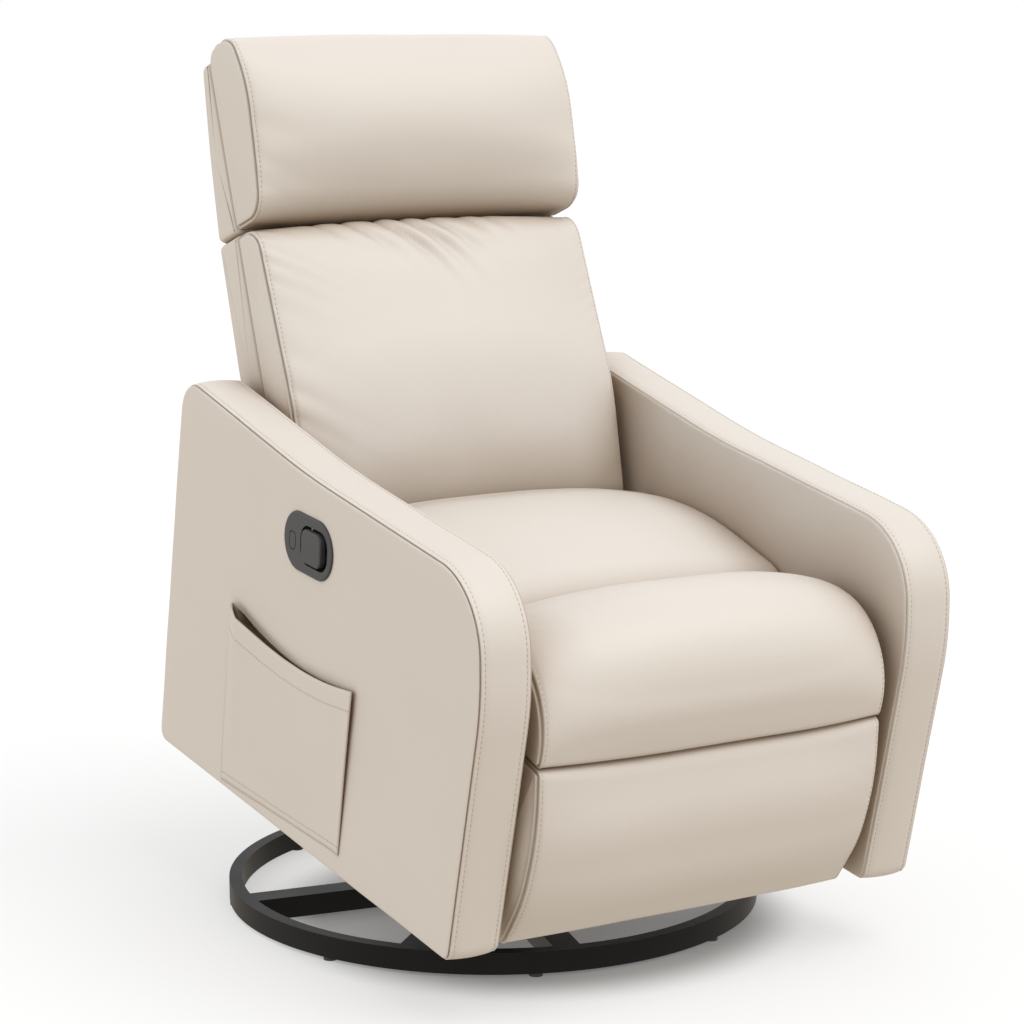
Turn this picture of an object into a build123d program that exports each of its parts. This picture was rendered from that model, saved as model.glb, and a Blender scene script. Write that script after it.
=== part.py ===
from build123d import *
import os
from math import cos, radians, sin, tan

# Swivel recliner with a flip-out footrest, in millimetres.
# The front faces -Y, +Z is up, the floor is Z = 0 and the chair's middle plane is X = 0.

# Overall sizes
WIDTH = 620.0  # over both arms
ARM_THICK = 64.0
SWIVEL_Y = 87.0  # the swivel axis, behind the middle of the chair
GAP = 1.5  # side clearance between a mechanism plate and the links
LAYER_GAP = 2.0  # side clearance between the links, carriers and footrest brackets
STUD_END = 1.0  # a stud stands this far past the plate it carries
RUN = 0.06  # radial clearance of a turning pin in its hole
SEAT_FIT = 0.2  # soft pieces stop this far from what carries them
HOLE_FIT = 0.3  # radial clearance of a bolt in its hole, and of a loose pin

# Ring base
RING_R = 325.0
RING_THICK = 16.0
RING_HIGH = 26.0
GLIDE_R = 8.0
GLIDE_HIGH = 4.0
GLIDES = 8
SPOKE_WIDE = 32.0
SPOKE_ANGLES = (170.7, 221.8, 254.4, 350.7, 41.8, 74.4)
HUB_R = 58.0
HUB_PLATE_R = 95.0
HUB_PLATE_THICK = 6.0
POST_R = 38.0
POST_TOP = 104.0
FLANGE_THICK = 8.0
SPINDLE_R = 16.0
SPINDLE_HIGH = 22.0
RACE_R = 40.0
RACE_HIGH = 6.0
SWIVEL_GAP = 0.5

# Body frame
SWIVEL_PLATE = 220.0
SWIVEL_PLATE_THICK = 5.0
TUBE_WALL = 3.0
BEAM_WIDE = 40.0
BEAM_HIGH = 35.0
BEAM_X = 80.0
RAIL_SIZE = 35.0
RAIL_FRONT_Y = -11.0
RAIL_REAR_Y = 78.0
PLATE_THICK = 4.0  # mechanism plates, links, carriers and brackets
STUD_R = 6.0
EAR_R = 18.0
PLATE_REAR = (194.0, 175.0)  # lower rear corner of a mechanism plate
BOLT_R = 4.0
BOLT_HEAD_R = 7.0
BOLT_HEAD_HIGH = 4.0
ARM_BOLTS = ((-66.0, 180.0), (84.0, 205.0), (146.0, 300.0))

# Arms, as the corners of one arm's side view (Y, Z) and how far each is rounded
ARM_CORNERS = (
    (385.0, 174.0),
    (295.5, 643.4),
    (-20.0, 565.0),
    (-398.0, 501.0),
    (-399.0, 372.0),
    (-330.0, 83.0),
)
ARM_ROUNDS = (16.0, 39.0, 1500.0, 95.0, 300.0, 12.0)
ARM_EDGE_ROUND = 9.0
ARM_PADDING = 25.0
ARM_BOARD_THICK = 18.0

# Backrest, raked about its foot at the seat
BACK_FOOT = (135.0, 474.0)
BACK_RAKE = 19.0
BACK_SIDE_GAP = 16.0  # from the cushion to each arm
BACK_LOW = -60.0
BACK_HIGH = 370.0
BACK_THICK = 55.0
BACK_CROWN = 11.0
BACK_LUMBAR = (25.0, 130.0)  # how far the front bulges, and at what height
BACK_TOP_PROUD = 8.0
BACK_ROUNDS = (0.0, 16.0, 1000.0, 26.0, 0.0)
HEAD_LOW = 375.0
HEAD_HIGH = 605.0
HEAD_PROUD = 23.0
HEAD_CROWN = 9.0
HEAD_TOP_CROWN = 3.0
HEAD_BELLY = 9.0
HEAD_SLOPE = 8.0  # the top edge of the front lies this far back
HEAD_ROUNDS = (0.0, 20.0, 400.0, 30.0, 22.0)
PAD_EDGE_ROUND = 12.0
UPRIGHT_SIZE = 25.0
UPRIGHT_LOW = -30.0
UPRIGHT_HIGH = 500.0
CROSS_HIGH = 30.0
CROSS_AT = (0.0, 320.0, 470.0)
SHELL_SIDE_GAP = 17.0  # from the shells to each arm
SHELL_FIT = 0.3  # from a shell's wall to the brackets inside it
SHELL_WALL = 4.0
SHELL_LOW = -22.0
SHELL_LOW_DEEP = 92.0
SHELL_SPLIT = 372.0
SHELL_SPLIT_DEEP = 104.0
SHELL_HIGH = 590.0
SHELL_HIGH_DEEP = 76.0
SHELL_SEAM = 3.0
HINGE = (174.0, 344.0)
HINGE_R = 8.0
HINGE_EAR_R = 22.0
BRACKET_REACH = 120.0

# Seat
SEAT_SIDE_GAP = 6.0  # from the cushion to each arm
SEAT_TOP = 487.0
SEAT_MIDDLE = (-20.0, 484.0)
SEAT_FRONT = -187.0
SEAT_FRONT_TOP = 430.0
SEAT_ROUNDS = (0.0, 20.0, 700.0, 30.0, 0.0)
SEAT_CROWN = 13.0
SEAT_BACK_GAP = 12.0
DECK_THICK = 15.0
DECK_TOP = 340.0
DECK_SIDE_GAP = 21.0  # from the deck to each arm
DECK_REAR = 95.0
DECK_SETBACK = 14.0  # behind the front of the seat cushion
SEAT_RAIL = 35.0
SEAT_RAIL_WIDE = 30.0
SEAT_RAIL_SETBACK = 30.0  # from the deck's side to the middle of a rail

# Footrest, as a lower panel raked about its seam and a roll above it
FOOT_SIDE_GAP = 17.0  # from the footrest to each arm
FOOT_SEAM = (-387.0, 288.0)
FOOT_RAKE = 19.6
FOOT_LONG = 226.0
FOOT_PAD_THICK = 45.0
FOOT_CROWN = 7.0
FOOT_BELLY = 22.0
FOOT_PAD_ROUNDS = (0.0, 8.0, 400.0, 14.0, 0.0)
FOOT_SEAM_GAP = 2.0
FOOT_BOARD = 15.0
FOOT_BOARD_SETBACK = 18.0  # above the lower end of the panel
SHELF_TOP = 330.0
SHELF_REAR = -196.0
ROLL_FRONT = ((-402.0, 352.0), (-372.0, 432.0))
ROLL_TOP = (-285.0, 450.0)
ROLL_REAR = (-205.0, 425.0)
ROLL_REAR_FOOT = -194.0
ROLL_ROUNDS = (0.0, 0.0, 8.0, 110.0, 50.0, 110.0, 40.0, 0.0)
FLIP = (-291.0, 290.0)
FLIP_EAR_R = 16.0
BRACKET_EDGE = 16.0  # height of a bracket's flange under the shelf
BRACKET_TIP = 30.0  # a bracket ends this far before the shelf does

# Swing links that carry the footrest forward
LINK_FRONT = (-206.0, 122.0)
LINK_STEP = 60.0  # from the front link to the rear link
LINK_LONG = 185.0
LINK_LEAN = 40.0  # backwards from upright, folded
LINK_EAR_R = 13.0
LINK_TUBE_R = 9.0
LINK_TUBE_SHARE = 0.45  # of the link's length, from its lower pin
CARRIER_DROP = 40.0

# Release latch and pocket on the right arm
LATCH_AT = (-30.0, 485.0)
LATCH_TILT = 5.0
BEZEL_LONG = 115.0
BEZEL_HIGH = 69.0
BEZEL_THICK = 4.0
RECESS_REAR = 17.0  # behind the middle of the bezel
RECESS_LONG = 64.0
RECESS_HIGH = 46.0
RECESS_ROUND = 18.0
CUP_WALL = 3.0
CUP_DEEP = 18.0
BADGE_AT = 36.0  # middle of the oval groove, behind the middle of the bezel
BADGE_DROP = 2.0
BADGE_LONG = 16.0
BADGE_HIGH = 22.0
BADGE_GROOVE = 1.2
PADDLE_REAR = 9.0
PADDLE_LONG = 46.0
PADDLE_HIGH = 39.0
PADDLE_ROUND = 11.0
PADDLE_PROUD = 8.0
PADDLE_THICK = 7.0
PADDLE_EDGE_ROUND = 2.0
PADDLE_PIN_R = 2.5
PADDLE_PIN_Y = 4.0  # behind the middle of the bezel
PADDLE_PIN_DEEP = 6.0
PADDLE_BOSS_R = 5.0
PADDLE_BOSS_LONG = 30.0
POCKET = ((167.0, 385.0), (-136.0, 339.0), (-92.0, 141.0), (208.0, 161.0))
POCKET_SCOOP = 20.0
POCKET_DEEP = 10.0
POCKET_WALL = 2.5
POCKET_HEM = 5.0  # width of the sewn edge

# Levels and layers worked out from the sizes above
OUTER = WIDTH / 2
INNER = OUTER - ARM_THICK
SEAT_HALF = INNER - SEAT_SIDE_GAP
DECK_HALF = INNER - DECK_SIDE_GAP
SEAT_RAIL_X = DECK_HALF - SEAT_RAIL_SETBACK
BACK_HALF = INNER - BACK_SIDE_GAP
SHELL_HALF = INNER - SHELL_SIDE_GAP
HEAD_HALF = SHELL_HALF
UPRIGHT_X = SHELL_HALF - SHELL_WALL - SHELL_FIT - PLATE_THICK - UPRIGHT_SIZE
FOOT_HALF = INNER - FOOT_SIDE_GAP
RING_TOP = GLIDE_HIGH + RING_HIGH
RACE_TOP = POST_TOP + RACE_HIGH
SWIVEL_PLATE_LOW = RACE_TOP + SWIVEL_GAP
BEAM_LOW = SWIVEL_PLATE_LOW + SWIVEL_PLATE_THICK
RAIL_LOW = BEAM_LOW + BEAM_HIGH
RAIL_TOP = RAIL_LOW + RAIL_SIZE
DECK_LOW = DECK_TOP - DECK_THICK
SEAT_RAIL_LOW = DECK_LOW - SEAT_RAIL
PLATE_X = INNER - PLATE_THICK
LINK_X = PLATE_X - GAP - PLATE_THICK
CARRIER_X = LINK_X - LAYER_GAP - PLATE_THICK
FOOT_BRACKET_X = CARRIER_X - LAYER_GAP - PLATE_THICK
SHELF_LOW = SHELF_TOP - FOOT_BOARD
LINK_REAR = (LINK_FRONT[0] + LINK_STEP, LINK_FRONT[1])
LINK_REACH = (LINK_LONG * sin(radians(LINK_LEAN)), LINK_LONG * cos(radians(LINK_LEAN)))

BACK = Plane(
    origin=(0, *BACK_FOOT),
    x_dir=(0, cos(radians(BACK_RAKE)), -sin(radians(BACK_RAKE))),
    z_dir=(1, 0, 0),
)
FOOT = Plane(
    origin=(0, *FOOT_SEAM),
    x_dir=(0, cos(radians(FOOT_RAKE)), sin(radians(FOOT_RAKE))),
    z_dir=(1, 0, 0),
)
nodes = {}


def slab(face, x_from, x_to, plane=Plane.YZ):
    """Extrudes a side view between two places along X."""
    return extrude(plane.offset(x_from) * face, amount=x_to - x_from)


def rod(point, radius, x_from, x_to):
    """A round bar along X through a point of the side view."""
    return slab(Pos(*point) * Circle(radius), x_from, x_to)


def pair(name, piece):
    """Adds the piece made for the left, +X, and its mirror image on the right."""
    nodes[name + "_left"] = piece
    nodes[name + "_right"] = mirror(piece, about=Plane.YZ)


def hull(*circles):
    """The plate outline round several (point, radius) circles."""
    edges = [(Pos(*point) * Circle(radius)).edge() for point, radius in circles]
    return make_hull(edges)


def box_tube(wide, deep, long):
    """A square-cornered tube along Y."""
    inner = Box(wide - 2 * TUBE_WALL, long, deep - 2 * TUBE_WALL)
    return Box(wide, long, deep) - inner


def pillow(plane, outline, half, crown):
    """A crowned pad: its side outline shrinks by the crown towards both ends."""
    stations = ((-half, crown), (0, 0), (half, crown))
    body = loft([plane.offset(x) * make_face(outline(inset)) for x, inset in stations])
    ends = body.faces().sort_by(Axis.X)
    return fillet(ends[0].edges() + ends[-1].edges(), PAD_EDGE_ROUND)


def ring_base():
    centre = Pos(0, SWIVEL_Y, GLIDE_HIGH)
    inner_r = RING_R - RING_THICK
    nodes["base_ring"] = centre * extrude(Circle(RING_R) - Circle(inner_r), RING_HIGH)
    between = extrude(Circle(inner_r) - Circle(HUB_R), RING_HIGH)
    for number, angle in enumerate(SPOKE_ANGLES, 1):
        bar = Pos(RING_R / 2, 0, RING_HIGH / 2) * Box(RING_R, SPOKE_WIDE, RING_HIGH)
        nodes[f"base_spoke_{number}"] = centre * ((Rot(Z=angle) * bar) & between)
    glides = []
    for number in range(GLIDES):
        turn = Rot(Z=360 * (number + 0.5) / GLIDES)
        glide = extrude(Circle(GLIDE_R), GLIDE_HIGH)
        glides.append(Pos(0, SWIVEL_Y, 0) * turn * Pos(RING_R - RING_THICK / 2, 0) * glide)
    nodes["glide_pads"] = Compound(children=glides)


def swivel():
    plate_top = RING_TOP + HUB_PLATE_THICK
    outline = Polyline(
        (0, GLIDE_HIGH),
        (HUB_R, GLIDE_HIGH),
        (HUB_R, RING_TOP),
        (HUB_PLATE_R, RING_TOP),
        (HUB_PLATE_R, plate_top),
        (POST_R, plate_top),
        (POST_R, POST_TOP - FLANGE_THICK),
        (HUB_R, POST_TOP - FLANGE_THICK),
        (HUB_R, POST_TOP),
        (SPINDLE_R, POST_TOP),
        (SPINDLE_R, POST_TOP + SPINDLE_HIGH),
        (0, POST_TOP + SPINDLE_HIGH),
        close=True,
    )
    post = revolve(Plane.XZ * make_face(outline), Axis.Z)
    nodes["swivel_post"] = Pos(0, SWIVEL_Y) * post
    race = extrude(Circle(HUB_R) - Circle(RACE_R), RACE_HIGH)
    nodes["bearing_race"] = Pos(0, SWIVEL_Y, POST_TOP) * race
    plate = RectangleRounded(SWIVEL_PLATE, SWIVEL_PLATE, EAR_R) - Circle(SPINDLE_R + RUN)
    nodes["swivel_plate"] = Pos(0, SWIVEL_Y, SWIVEL_PLATE_LOW) * extrude(plate, SWIVEL_PLATE_THICK)


def body_frame():
    front = RAIL_FRONT_Y - RAIL_SIZE / 2
    rear = SWIVEL_Y + SWIVEL_PLATE / 2
    beam = box_tube(BEAM_WIDE, BEAM_HIGH, rear - front)
    pair("beam", Pos(BEAM_X, (front + rear) / 2, BEAM_LOW + BEAM_HIGH / 2) * beam)
    rail = Rot(Z=90) * box_tube(RAIL_SIZE, RAIL_SIZE, 2 * PLATE_X)
    for name, y in (("rail_front", RAIL_FRONT_Y), ("rail_rear", RAIL_REAR_Y)):
        nodes[name] = Pos(0, y, RAIL_LOW + RAIL_SIZE / 2) * rail
    outline = hull(
        (LINK_FRONT, EAR_R),
        (LINK_REAR, EAR_R),
        (PLATE_REAR, EAR_R),
        (HINGE, HINGE_EAR_R),
    )
    for place in ARM_BOLTS:
        outline -= Pos(*place) * Circle(BOLT_R + HOLE_FIT)
    plate = slab(outline, PLATE_X, INNER)
    for place in (LINK_FRONT, LINK_REAR):
        plate += rod(place, STUD_R, LINK_X - STUD_END, PLATE_X)
    plate += rod(HINGE, HINGE_R, UPRIGHT_X + UPRIGHT_SIZE - STUD_END, PLATE_X)
    pair("mechanism_plate", plate)


def latch_place(x):
    """The latch's own plane on the right arm, X along the arm to the rear, looking inwards."""
    rear = (0, cos(radians(LATCH_TILT)), sin(radians(LATCH_TILT)))
    return Plane(origin=(x, *LATCH_AT), x_dir=rear, z_dir=(1, 0, 0))


def arms():
    outline = make_face(FilletPolyline(*ARM_CORNERS, radius=ARM_ROUNDS, close=True))
    cover = slab(outline, INNER, OUTER)
    rims = cover.faces().sort_by(Axis.X)
    cover = fillet(rims[0].edges() + rims[-1].edges(), ARM_EDGE_ROUND)
    board_from = (INNER + OUTER - ARM_BOARD_THICK) / 2
    board_to = board_from + ARM_BOARD_THICK
    board = slab(offset(outline, -ARM_PADDING), board_from, board_to)
    cover -= slab(offset(outline, HOLE_FIT - ARM_PADDING), board_from, board_to)
    bolts = []
    for place in ARM_BOLTS:
        hole = rod(place, BOLT_R + HOLE_FIT, INNER - STUD_END, board_to)
        cover -= hole
        board -= hole
        head = rod(place, BOLT_HEAD_R, PLATE_X - BOLT_HEAD_HIGH, PLATE_X)
        bolts.append(head + rod(place, BOLT_R, PLATE_X, board_to - STUD_END))
    nodes["arm_bolts"] = Compound(children=bolts + [mirror(bolt, about=Plane.YZ) for bolt in bolts])
    pair("arm_board", board)
    pair("arm_cover", cover)
    recess = latch_place(-OUTER) * recess_outline(CUP_WALL + HOLE_FIT)
    nodes["arm_cover_right"] -= extrude(recess, CUP_DEEP + CUP_WALL + HOLE_FIT)


def recess_outline(grow):
    """The opening of the latch in its own plane, grown on all sides."""
    middle = Pos(RECESS_REAR - RECESS_LONG / 2, 0)
    return middle * RectangleRounded(RECESS_LONG + 2 * grow, RECESS_HIGH + 2 * grow, RECESS_ROUND + grow)


def latch():
    face = latch_place(-OUTER)
    front = latch_place(-OUTER - BEZEL_THICK)
    rim = extrude(face * SlotOverall(BEZEL_LONG, BEZEL_HIGH), -BEZEL_THICK)
    rim = fillet(rim.faces().sort_by(Axis.X)[0].edges(), BEZEL_THICK / 2)
    bezel = rim + extrude(face * recess_outline(CUP_WALL), CUP_DEEP + CUP_WALL)
    bezel -= extrude(front * recess_outline(0), BEZEL_THICK + CUP_DEEP)
    badge = RectangleRounded(BADGE_LONG, BADGE_HIGH, BADGE_LONG / 2 - BADGE_GROOVE)
    groove = Pos(BADGE_AT, -BADGE_DROP) * (badge - offset(badge, -BADGE_GROOVE))
    bezel -= extrude(front * groove, BADGE_GROOVE)
    pin_place = face * Pos(PADDLE_PIN_Y, 0, PADDLE_PIN_DEEP) * Rot(X=90)
    pin_long = RECESS_HIGH + CUP_WALL
    bezel -= pin_place * Cylinder(PADDLE_PIN_R + RUN, pin_long)
    nodes["latch_bezel"] = bezel
    nodes["latch_pin"] = pin_place * Cylinder(PADDLE_PIN_R, pin_long)
    shape = Pos(PADDLE_REAR - PADDLE_LONG / 2, 0) * RectangleRounded(PADDLE_LONG, PADDLE_HIGH, PADDLE_ROUND)
    handle = extrude(latch_place(-OUTER - PADDLE_PROUD) * shape, PADDLE_THICK)
    handle = fillet(handle.faces().sort_by(Axis.X)[0].edges(), PADDLE_EDGE_ROUND)
    web_deep = PADDLE_PIN_DEEP + PADDLE_PROUD - PADDLE_THICK
    web = Pos(PADDLE_PIN_Y, 0, PADDLE_PIN_DEEP - web_deep / 2) * Box(2 * PADDLE_BOSS_R, PADDLE_BOSS_LONG, web_deep)
    boss = pin_place * Cylinder(PADDLE_BOSS_R, PADDLE_BOSS_LONG)
    hole = pin_place * Cylinder(PADDLE_PIN_R + RUN, PADDLE_BOSS_LONG)
    nodes["release_paddle"] = handle + face * web + boss - hole


def pocket():
    top_rear, top_front, low_front, low_rear = POCKET
    dip = ((top_rear[0] + top_front[0]) / 2, (top_rear[1] + top_front[1]) / 2 - POCKET_SCOOP)
    mouth = ThreePointArc(top_rear, dip, top_front)
    sides = Polyline(top_front, low_front, low_rear, top_rear)
    outline = make_face([mouth.edge(), *sides.edges()])
    panel = slab(outline, -OUTER - POCKET_DEEP, -OUTER)
    hollow = make_face(
        Polyline(
            (top_rear[0] - POCKET_HEM, top_rear[1] + POCKET_SCOOP),
            (top_front[0] + POCKET_HEM, top_front[1] + POCKET_SCOOP),
            (low_front[0] + POCKET_HEM, low_front[1] + POCKET_HEM),
            (low_rear[0] - POCKET_HEM, low_rear[1] + POCKET_HEM),
            close=True,
        )
    )
    nodes["side_pocket"] = panel - slab(hollow, -OUTER - POCKET_DEEP + POCKET_WALL, -OUTER)


def seat():
    front = SEAT_FRONT + DECK_SETBACK
    rail_long = DECK_REAR - front
    rail_middle = (DECK_REAR + front) / 2
    rail = Box(SEAT_RAIL_WIDE, rail_long, SEAT_RAIL)
    pair("seat_rail", Pos(SEAT_RAIL_X, rail_middle, DECK_LOW - SEAT_RAIL / 2) * rail)
    posts = []
    for x in (-SEAT_RAIL_X, SEAT_RAIL_X):
        for y in (RAIL_FRONT_Y, RAIL_REAR_Y):
            post = Box(SEAT_RAIL_WIDE, SEAT_RAIL_WIDE, SEAT_RAIL_LOW - RAIL_TOP)
            posts.append(Pos(x, y, (RAIL_TOP + SEAT_RAIL_LOW) / 2) * post)
    nodes["seat_posts"] = Compound(children=posts)
    deck = Box(2 * DECK_HALF, rail_long, DECK_THICK)
    nodes["seat_deck"] = Pos(0, rail_middle, DECK_LOW + DECK_THICK / 2) * deck

    def outline(inset):
        low = DECK_TOP + SEAT_FIT
        top = SEAT_TOP - inset
        lean = tan(radians(BACK_RAKE))
        rear = BACK_FOOT[0] - SEAT_BACK_GAP
        return FilletPolyline(
            (rear + (low - BACK_FOOT[1]) * lean, low),
            (rear + (top - BACK_FOOT[1]) * lean, top),
            (SEAT_MIDDLE[0], SEAT_MIDDLE[1] - inset),
            (SEAT_FRONT, SEAT_FRONT_TOP - inset),
            (SEAT_FRONT, low),
            radius=SEAT_ROUNDS,
            close=True,
        )

    nodes["seat_cushion"] = pillow(Plane.YZ, outline, SEAT_HALF, SEAT_CROWN)


def backrest():
    upright = slab(
        Pos(BACK_THICK + UPRIGHT_SIZE / 2, (UPRIGHT_LOW + UPRIGHT_HIGH) / 2)
        * Rectangle(UPRIGHT_SIZE, UPRIGHT_HIGH - UPRIGHT_LOW),
        UPRIGHT_X,
        UPRIGHT_X + UPRIGHT_SIZE,
        BACK,
    )
    pair("back_upright", upright)
    for name, low in zip(("low", "middle", "top"), CROSS_AT):
        bar = Pos(BACK_THICK + UPRIGHT_SIZE / 2, low + CROSS_HIGH / 2) * Rectangle(UPRIGHT_SIZE, CROSS_HIGH)
        nodes["back_cross_" + name] = slab(bar, -UPRIGHT_X, UPRIGHT_X, BACK)
    local = BACK.to_local_coords(Vector(0, *HINGE))
    outer = UPRIGHT_X + UPRIGHT_SIZE
    strip = Pos(BACK_THICK + UPRIGHT_SIZE / 2, BRACKET_REACH / 2) * Rectangle(UPRIGHT_SIZE, BRACKET_REACH)
    ear = hull(
        ((local.X, local.Y), HINGE_EAR_R),
        ((BACK_THICK + UPRIGHT_SIZE / 2, UPRIGHT_SIZE / 2), UPRIGHT_SIZE / 2),
    )
    bracket = slab(ear + strip - Pos(local.X, local.Y) * Circle(HINGE_R + RUN), outer, outer + PLATE_THICK, BACK)
    pair("back_bracket", bracket)

    back = BACK_THICK - SEAT_FIT

    def cushion(inset):
        low = BACK_LOW + inset / 2
        high = BACK_HIGH - inset / 4
        return FilletPolyline(
            (back, low),
            (inset, low),
            (inset - BACK_LUMBAR[0], BACK_LUMBAR[1]),
            (inset - BACK_TOP_PROUD, high),
            (back, high),
            radius=BACK_ROUNDS,
            close=True,
        )

    nodes["back_cushion"] = pillow(BACK, cushion, BACK_HALF, BACK_CROWN)

    def headrest(inset):
        front = inset - HEAD_PROUD
        low = HEAD_LOW + inset / 4
        high = HEAD_HIGH - HEAD_TOP_CROWN * inset / HEAD_CROWN
        return FilletPolyline(
            (back, low),
            (front, low),
            (front - HEAD_BELLY, (low + high) / 2),
            (front + HEAD_SLOPE, high),
            (back, high),
            radius=HEAD_ROUNDS,
            close=True,
        )

    nodes["headrest_pad"] = pillow(BACK, headrest, HEAD_HALF, HEAD_CROWN)


def shells():
    def tray(low, low_deep, high, high_deep, lid):
        """A cover open to the front and below, with a lid of the given thickness."""

        def side(wall, top):
            return make_face(
                Polyline(
                    (BACK_THICK, low),
                    (low_deep - wall, low),
                    (high_deep - wall, top),
                    (BACK_THICK, top),
                    close=True,
                )
            )

        body = slab(side(0, high), -SHELL_HALF, SHELL_HALF, BACK)
        inner = SHELL_HALF - SHELL_WALL
        return body - slab(side(SHELL_WALL, high - lid), -inner, inner, BACK)

    split_low = SHELL_SPLIT - SHELL_SEAM / 2
    split_high = SHELL_SPLIT + SHELL_SEAM / 2
    nodes["back_shell_low"] = tray(SHELL_LOW, SHELL_LOW_DEEP, split_low, SHELL_SPLIT_DEEP, 0)
    nodes["back_shell_top"] = tray(split_high, SHELL_SPLIT_DEEP, SHELL_HIGH, SHELL_HIGH_DEEP, SHELL_WALL)


def footrest():
    lean = tan(radians(FOOT_RAKE))
    front_y = FOOT_SEAM[0] + FOOT_PAD_THICK / cos(radians(FOOT_RAKE))

    def board_y(z):
        return front_y + (FOOT_SEAM[1] - z) * lean

    low = FOOT_SEAM[1] - FOOT_LONG * cos(radians(FOOT_RAKE)) + FOOT_BOARD_SETBACK
    thick = FOOT_BOARD / cos(radians(FOOT_RAKE))
    board = Polyline(
        (board_y(low), low),
        (board_y(SHELF_LOW), SHELF_LOW),
        (board_y(SHELF_LOW) + thick, SHELF_LOW),
        (board_y(low) + thick, low),
        close=True,
    )
    half = FOOT_BRACKET_X + PLATE_THICK
    nodes["foot_board"] = slab(make_face(board), -half, half)
    shelf_front = board_y(SHELF_LOW)
    shelf = Polyline(
        (shelf_front, SHELF_LOW),
        (shelf_front, SHELF_TOP),
        (SHELF_REAR, SHELF_TOP),
        (SHELF_REAR, SHELF_LOW),
        close=True,
    )
    nodes["foot_shelf"] = slab(make_face(shelf), -half, half)
    edge_low = SHELF_LOW - BRACKET_EDGE
    edge_rear = SHELF_REAR - BRACKET_TIP
    flange = Polyline(
        (board_y(SHELF_LOW) + thick, SHELF_LOW),
        (edge_rear, SHELF_LOW),
        (edge_rear, edge_low),
        (board_y(edge_low) + thick, edge_low),
        close=True,
    )
    ear = hull((FLIP, FLIP_EAR_R), ((FLIP[0], edge_low), FLIP_EAR_R))
    bracket = make_face(flange) + ear - Pos(*FLIP) * Circle(STUD_R + RUN)
    pair("foot_bracket", slab(bracket, FOOT_BRACKET_X, half))

    def pad(inset):
        depth = FOOT_PAD_THICK - SEAT_FIT
        end = -FOOT_LONG + inset / 4
        return FilletPolyline(
            (depth, -FOOT_SEAM_GAP),
            (inset, -FOOT_SEAM_GAP),
            (inset - FOOT_BELLY, end / 2),
            (inset, end),
            (depth, end),
            radius=FOOT_PAD_ROUNDS,
            close=True,
        )

    nodes["foot_pad"] = pillow(FOOT, pad, FOOT_HALF, FOOT_CROWN)

    def roll(inset):
        low = SHELF_TOP + SEAT_FIT
        edge = shelf_front - SEAT_FIT
        lip = FOOT_SEAM[1] + FOOT_SEAM_GAP
        return FilletPolyline(
            (edge, low),
            (edge, lip + (edge - FOOT_SEAM[0]) * lean),
            (FOOT_SEAM[0] + inset, lip + inset * lean),
            *((y + inset, z - inset / 2) for y, z in ROLL_FRONT),
            (ROLL_TOP[0], ROLL_TOP[1] - inset),
            (ROLL_REAR[0] - inset / 2, ROLL_REAR[1] - inset),
            (ROLL_REAR_FOOT, low),
            radius=ROLL_ROUNDS,
            close=True,
        )

    nodes["foot_roll"] = pillow(Plane.YZ, roll, FOOT_HALF, FOOT_CROWN)


def swing_links():
    reach = LINK_REACH
    for name, foot in (("front", LINK_FRONT), ("rear", LINK_REAR)):
        head = (foot[0] + reach[0], foot[1] + reach[1])
        outline = hull((foot, LINK_EAR_R), (head, LINK_EAR_R))
        outline -= Pos(*foot) * Circle(STUD_R + RUN)
        outline -= Pos(*head) * Circle(STUD_R + (RUN if name == "front" else HOLE_FIT))
        pair(name + "_link", slab(outline, LINK_X, LINK_X + PLATE_THICK))
        along = (foot[0] + LINK_TUBE_SHARE * reach[0], foot[1] + LINK_TUBE_SHARE * reach[1])
        nodes[name + "_link_tube"] = rod(along, LINK_TUBE_R, -LINK_X, LINK_X)
    front_head = (LINK_FRONT[0] + reach[0], LINK_FRONT[1] + reach[1])
    rear_head = (LINK_REAR[0] + reach[0], LINK_REAR[1] + reach[1])
    middle = ((front_head[0] + rear_head[0]) / 2, front_head[1])
    drop = (middle[0], middle[1] - CARRIER_DROP)
    outline = hull((front_head, LINK_EAR_R), (rear_head, LINK_EAR_R), (FLIP, FLIP_EAR_R))
    outline += hull((middle, LINK_EAR_R), (drop, LINK_EAR_R))
    carrier = slab(outline, CARRIER_X, CARRIER_X + PLATE_THICK)
    for place in (front_head, rear_head):
        carrier += rod(place, STUD_R, CARRIER_X, LINK_X + PLATE_THICK)
    carrier += rod(FLIP, STUD_R, FOOT_BRACKET_X - STUD_END, CARRIER_X)
    pair("carrier", carrier)
    nodes["carrier_tube"] = rod(drop, LINK_TUBE_R, -CARRIER_X, CARRIER_X)


ring_base()
swivel()
body_frame()
arms()
latch()
pocket()
seat()
backrest()
shells()
footrest()
swing_links()

os.makedirs("parts", exist_ok=True)
for name, piece in nodes.items():
    export_step(piece, f"parts/{name}.step")
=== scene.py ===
import math

import bmesh
import bpy
import numpy as np
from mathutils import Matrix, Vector, noise


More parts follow.
